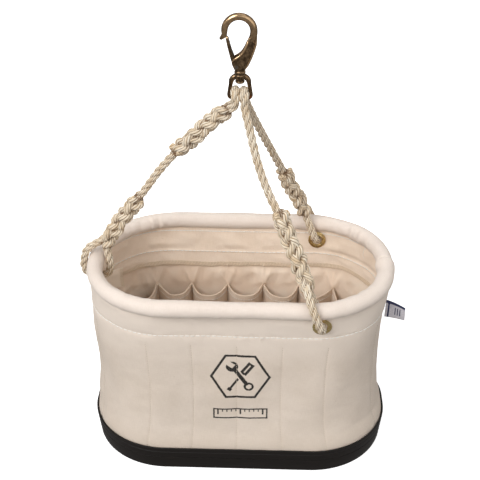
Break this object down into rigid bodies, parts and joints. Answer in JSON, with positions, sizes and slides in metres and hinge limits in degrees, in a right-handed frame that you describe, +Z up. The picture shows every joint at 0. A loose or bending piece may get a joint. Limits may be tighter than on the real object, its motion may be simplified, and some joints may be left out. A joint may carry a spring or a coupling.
{
  "type": "tool bucket organizer",
  "caption": "Oval canvas tool bucket with a moulded base, hooped rim, inside tool pockets, a three-legged rope sling and a swivel snap hook.",
  "frame": {"origin": "centre of the base's underside, on the surface that the bucket stands on", "axes": "+Z up, out of the bucket's mouth; +X along the oval, towards the side tag; the printed front faces -Y"},
  "size_m": [0.4056, 0.251, 0.5618],
  "materials": {
    "black_plastic": "moulded, matte",
    "hoop_plastic": "extruded tube",
    "canvas": "heavy plain-woven cotton duck",
    "piping_canvas": "rolled cotton duck",
    "lining_canvas": "plain-woven cotton canvas",
    "rope": "three-strand laid rope",
    "brass": "tumbled",
    "bronze": "dark antique",
    "steel": "plain",
    "tag_weave": "woven tape"
  },
  "bodies": {
    "bucket": {"base_tray": "black_plastic", "canvas_floor": "lining_canvas", "canvas_wall": "canvas", "rim_hoop": "hoop_plastic", "rim_piping": "piping_canvas", "top_facing": "lining_canvas", "facing_lap": "lining_canvas", "side_tag": "tag_weave", "left_rope": "rope", "right_rope": "rope", "pocket_back_1": "lining_canvas", "pocket_back_2": "lining_canvas", "pocket_back_3": "lining_canvas", "pocket_back_4": "lining_canvas", "pocket_back_5": "lining_canvas", "pocket_right_1": "lining_canvas", "pocket_right_2": "lining_canvas", "pocket_right_3": "lining_canvas", "pocket_front_1": "lining_canvas", "pocket_front_2": "lining_canvas", "pocket_front_3": "lining_canvas", "pocket_front_4": "lining_canvas", "pocket_left_1": "lining_canvas", "pocket_left_2": "lining_canvas", "pocket_left_3": "lining_canvas", "eyelet_left": "brass", "washer_left": "brass", "eyelet_front": "brass", "washer_front": "brass", "eyelet_back": "brass", "washer_back": "brass"},
    "eye": {"swivel_eye": "bronze"},
    "hook": {"hook_body": "bronze", "gate_pin": "steel", "gate_spring": "steel"},
    "gate": {"hook_gate": "bronze"}
  },
  "joints": [
    {"name": "eye_tilt", "type": "hinge", "parent": "bucket", "child": "eye", "pos_m": [0, 0, 0.4635], "axis": [1, 0, 0], "range_deg": [-90, 90]},
    {"name": "hook_swivel", "type": "hinge", "parent": "eye", "child": "hook", "pos_m": [0, 0, 0.4865], "axis": [0, 0, 1], "continuous": true},
    {"name": "gate_hinge", "type": "hinge", "parent": "hook", "child": "gate", "pos_m": [-0.0036, 0, 0.5015], "axis": [0, 1, 0], "range_deg": [0, 30], "stiffness_Nm_per_rad": 0.05, "springref_deg": -20.05, "deforming": ["gate_spring"]}
  ]
}
